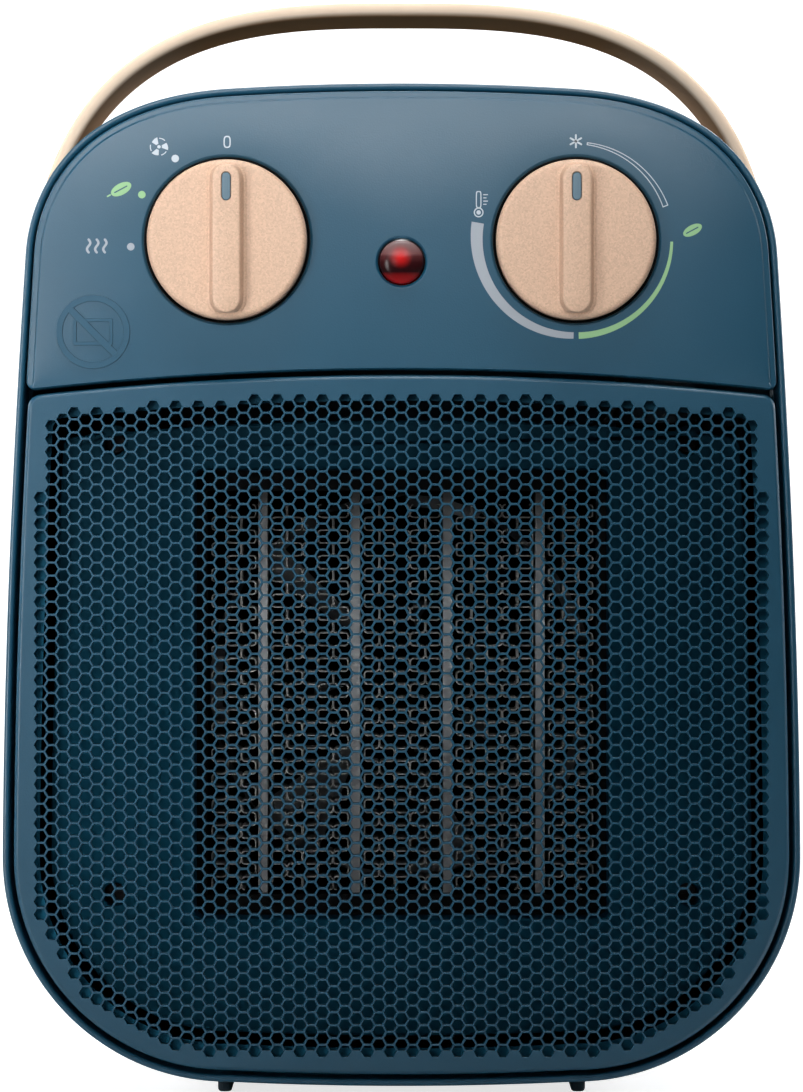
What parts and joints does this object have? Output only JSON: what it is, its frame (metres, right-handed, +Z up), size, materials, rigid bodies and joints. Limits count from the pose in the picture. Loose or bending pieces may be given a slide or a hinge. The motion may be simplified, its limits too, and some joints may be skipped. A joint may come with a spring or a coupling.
{
  "type": "ceramic space heater",
  "caption": "Compact upright ceramic fan heater with a rounded casing, perforated front grille, two rotary knobs, pilot lamp and a folding carry handle.",
  "frame": {"origin": "middle of the heater's width and depth, on the surface its feet stand on", "axes": "+X to the right seen from the front, +Y towards the back, +Z up"},
  "size_m": [0.1872, 0.1404, 0.2619],
  "materials": {
    "housing_blue": "fine-textured injection-moulded slate-blue plastic, satin",
    "baffle_blue": "moulded plastic, satin",
    "handle_peach": "warm peach plastic, satin",
    "knob_rose": "peach plastic with fine metallic flake, satin gloss",
    "pointer_slate": "painted inlay, matte",
    "lens_red": "clear red dome, polished",
    "lamp_glass": "clear glass neon lamp",
    "black_plastic": "heat-resistant moulded plastic, matte",
    "cream_plastic": "cream thermoset, matte",
    "aluminium": "mill-finish strip",
    "copper_winding": "enamelled copper winding wire",
    "foot_rubber": "moulded rubber, matte",
    "wire_sleeve": "silicone wire sleeve",
    "filter_net": "open nylon netting on a frame",
    "steel": "zinc-plated pressed steel"
  },
  "bodies": {
    "housing": {"baffle_screw_1": "steel", "baffle_screw_2": "steel", "baffle_screw_3": "steel", "baffle_screw_4": "steel", "case_screw_1": "steel", "case_screw_2": "steel", "case_screw_3": "steel", "case_screw_4": "steel", "control_panel": "housing_blue", "control_plate": "steel", "cord_gland": "black_plastic", "fin_pack_1": "aluminium", "fin_pack_2": "aluminium", "fin_pack_3": "aluminium", "fin_pack_4": "aluminium", "fin_pack_5": "aluminium", "foot_front_left": "foot_rubber", "foot_front_right": "foot_rubber", "foot_rear_left": "foot_rubber", "foot_rear_right": "foot_rubber", "front_grille": "housing_blue", "handle_pivot_left": "housing_blue", "handle_pivot_right": "housing_blue", "heater_duct": "black_plastic", "heater_frame": "black_plastic", "heater_wire": "wire_sleeve", "heating_element_1": "aluminium", "heating_element_2": "aluminium", "heating_element_3": "aluminium", "heating_element_4": "aluminium", "lamp_lens": "lens_red", "motor_bracket_front": "steel", "motor_bracket_rear": "steel", "motor_coil": "copper_winding", "motor_mount": "steel", "motor_stator": "steel", "neon_lamp": "lamp_glass", "outlet_baffle": "baffle_blue", "plate_screw": "steel", "rear_casing": "housing_blue", "rotary_switch": "cream_plastic", "supply_wire": "wire_sleeve", "terminal_block": "cream_plastic", "thermal_cutout": "cream_plastic", "thermal_fuse": "cream_plastic", "thermostat": "cream_plastic", "tip_switch_case": "black_plastic"},
    "handle": {"handle": "handle_peach"},
    "function_control": {"function_knob": "knob_rose", "function_pointer": "pointer_slate", "switch_shaft": "steel"},
    "thermostat_control": {"thermostat_knob": "knob_rose", "thermostat_pointer": "pointer_slate", "thermostat_shaft": "steel"},
    "fan": {"fan_impeller": "black_plastic", "motor_shaft": "steel", "motor_rotor": "steel"},
    "tip_pendulum": {"tip_switch_pendulum": "steel"},
    "dust_filter": {"filter_cover": "housing_blue", "filter_mesh": "filter_net"}
  },
  "joints": [
    {"name": "handle_fold", "type": "hinge", "parent": "housing", "child": "handle", "pos_m": [0, 0.00525, 0.155], "axis": [-1, 0, 0], "range_deg": [0, 90]},
    {"name": "function_turn", "type": "hinge", "parent": "housing", "child": "function_control", "pos_m": [-0.0408, -0.06275, 0.2008], "axis": [0, -1, 0], "range_deg": [0, 93]},
    {"name": "thermostat_turn", "type": "hinge", "parent": "housing", "child": "thermostat_control", "pos_m": [0.0408, -0.06275, 0.2008], "axis": [0, 1, 0], "range_deg": [0, 290]},
    {"name": "fan_spin", "type": "hinge", "parent": "housing", "child": "fan", "pos_m": [0, 0.00925, 0.09435], "axis": [0, 1, 0], "continuous": true},
    {"name": "tip_swing", "type": "hinge", "parent": "housing", "child": "tip_pendulum", "pos_m": [0, -0.01275, 0.0264], "axis": [0, 1, 0], "range_deg": [-25, 25]},
    {"name": "filter_pull", "type": "slide", "parent": "housing", "child": "dust_filter", "axis": [0, 1, 0], "range_m": [0, 0.03]}
  ]
}
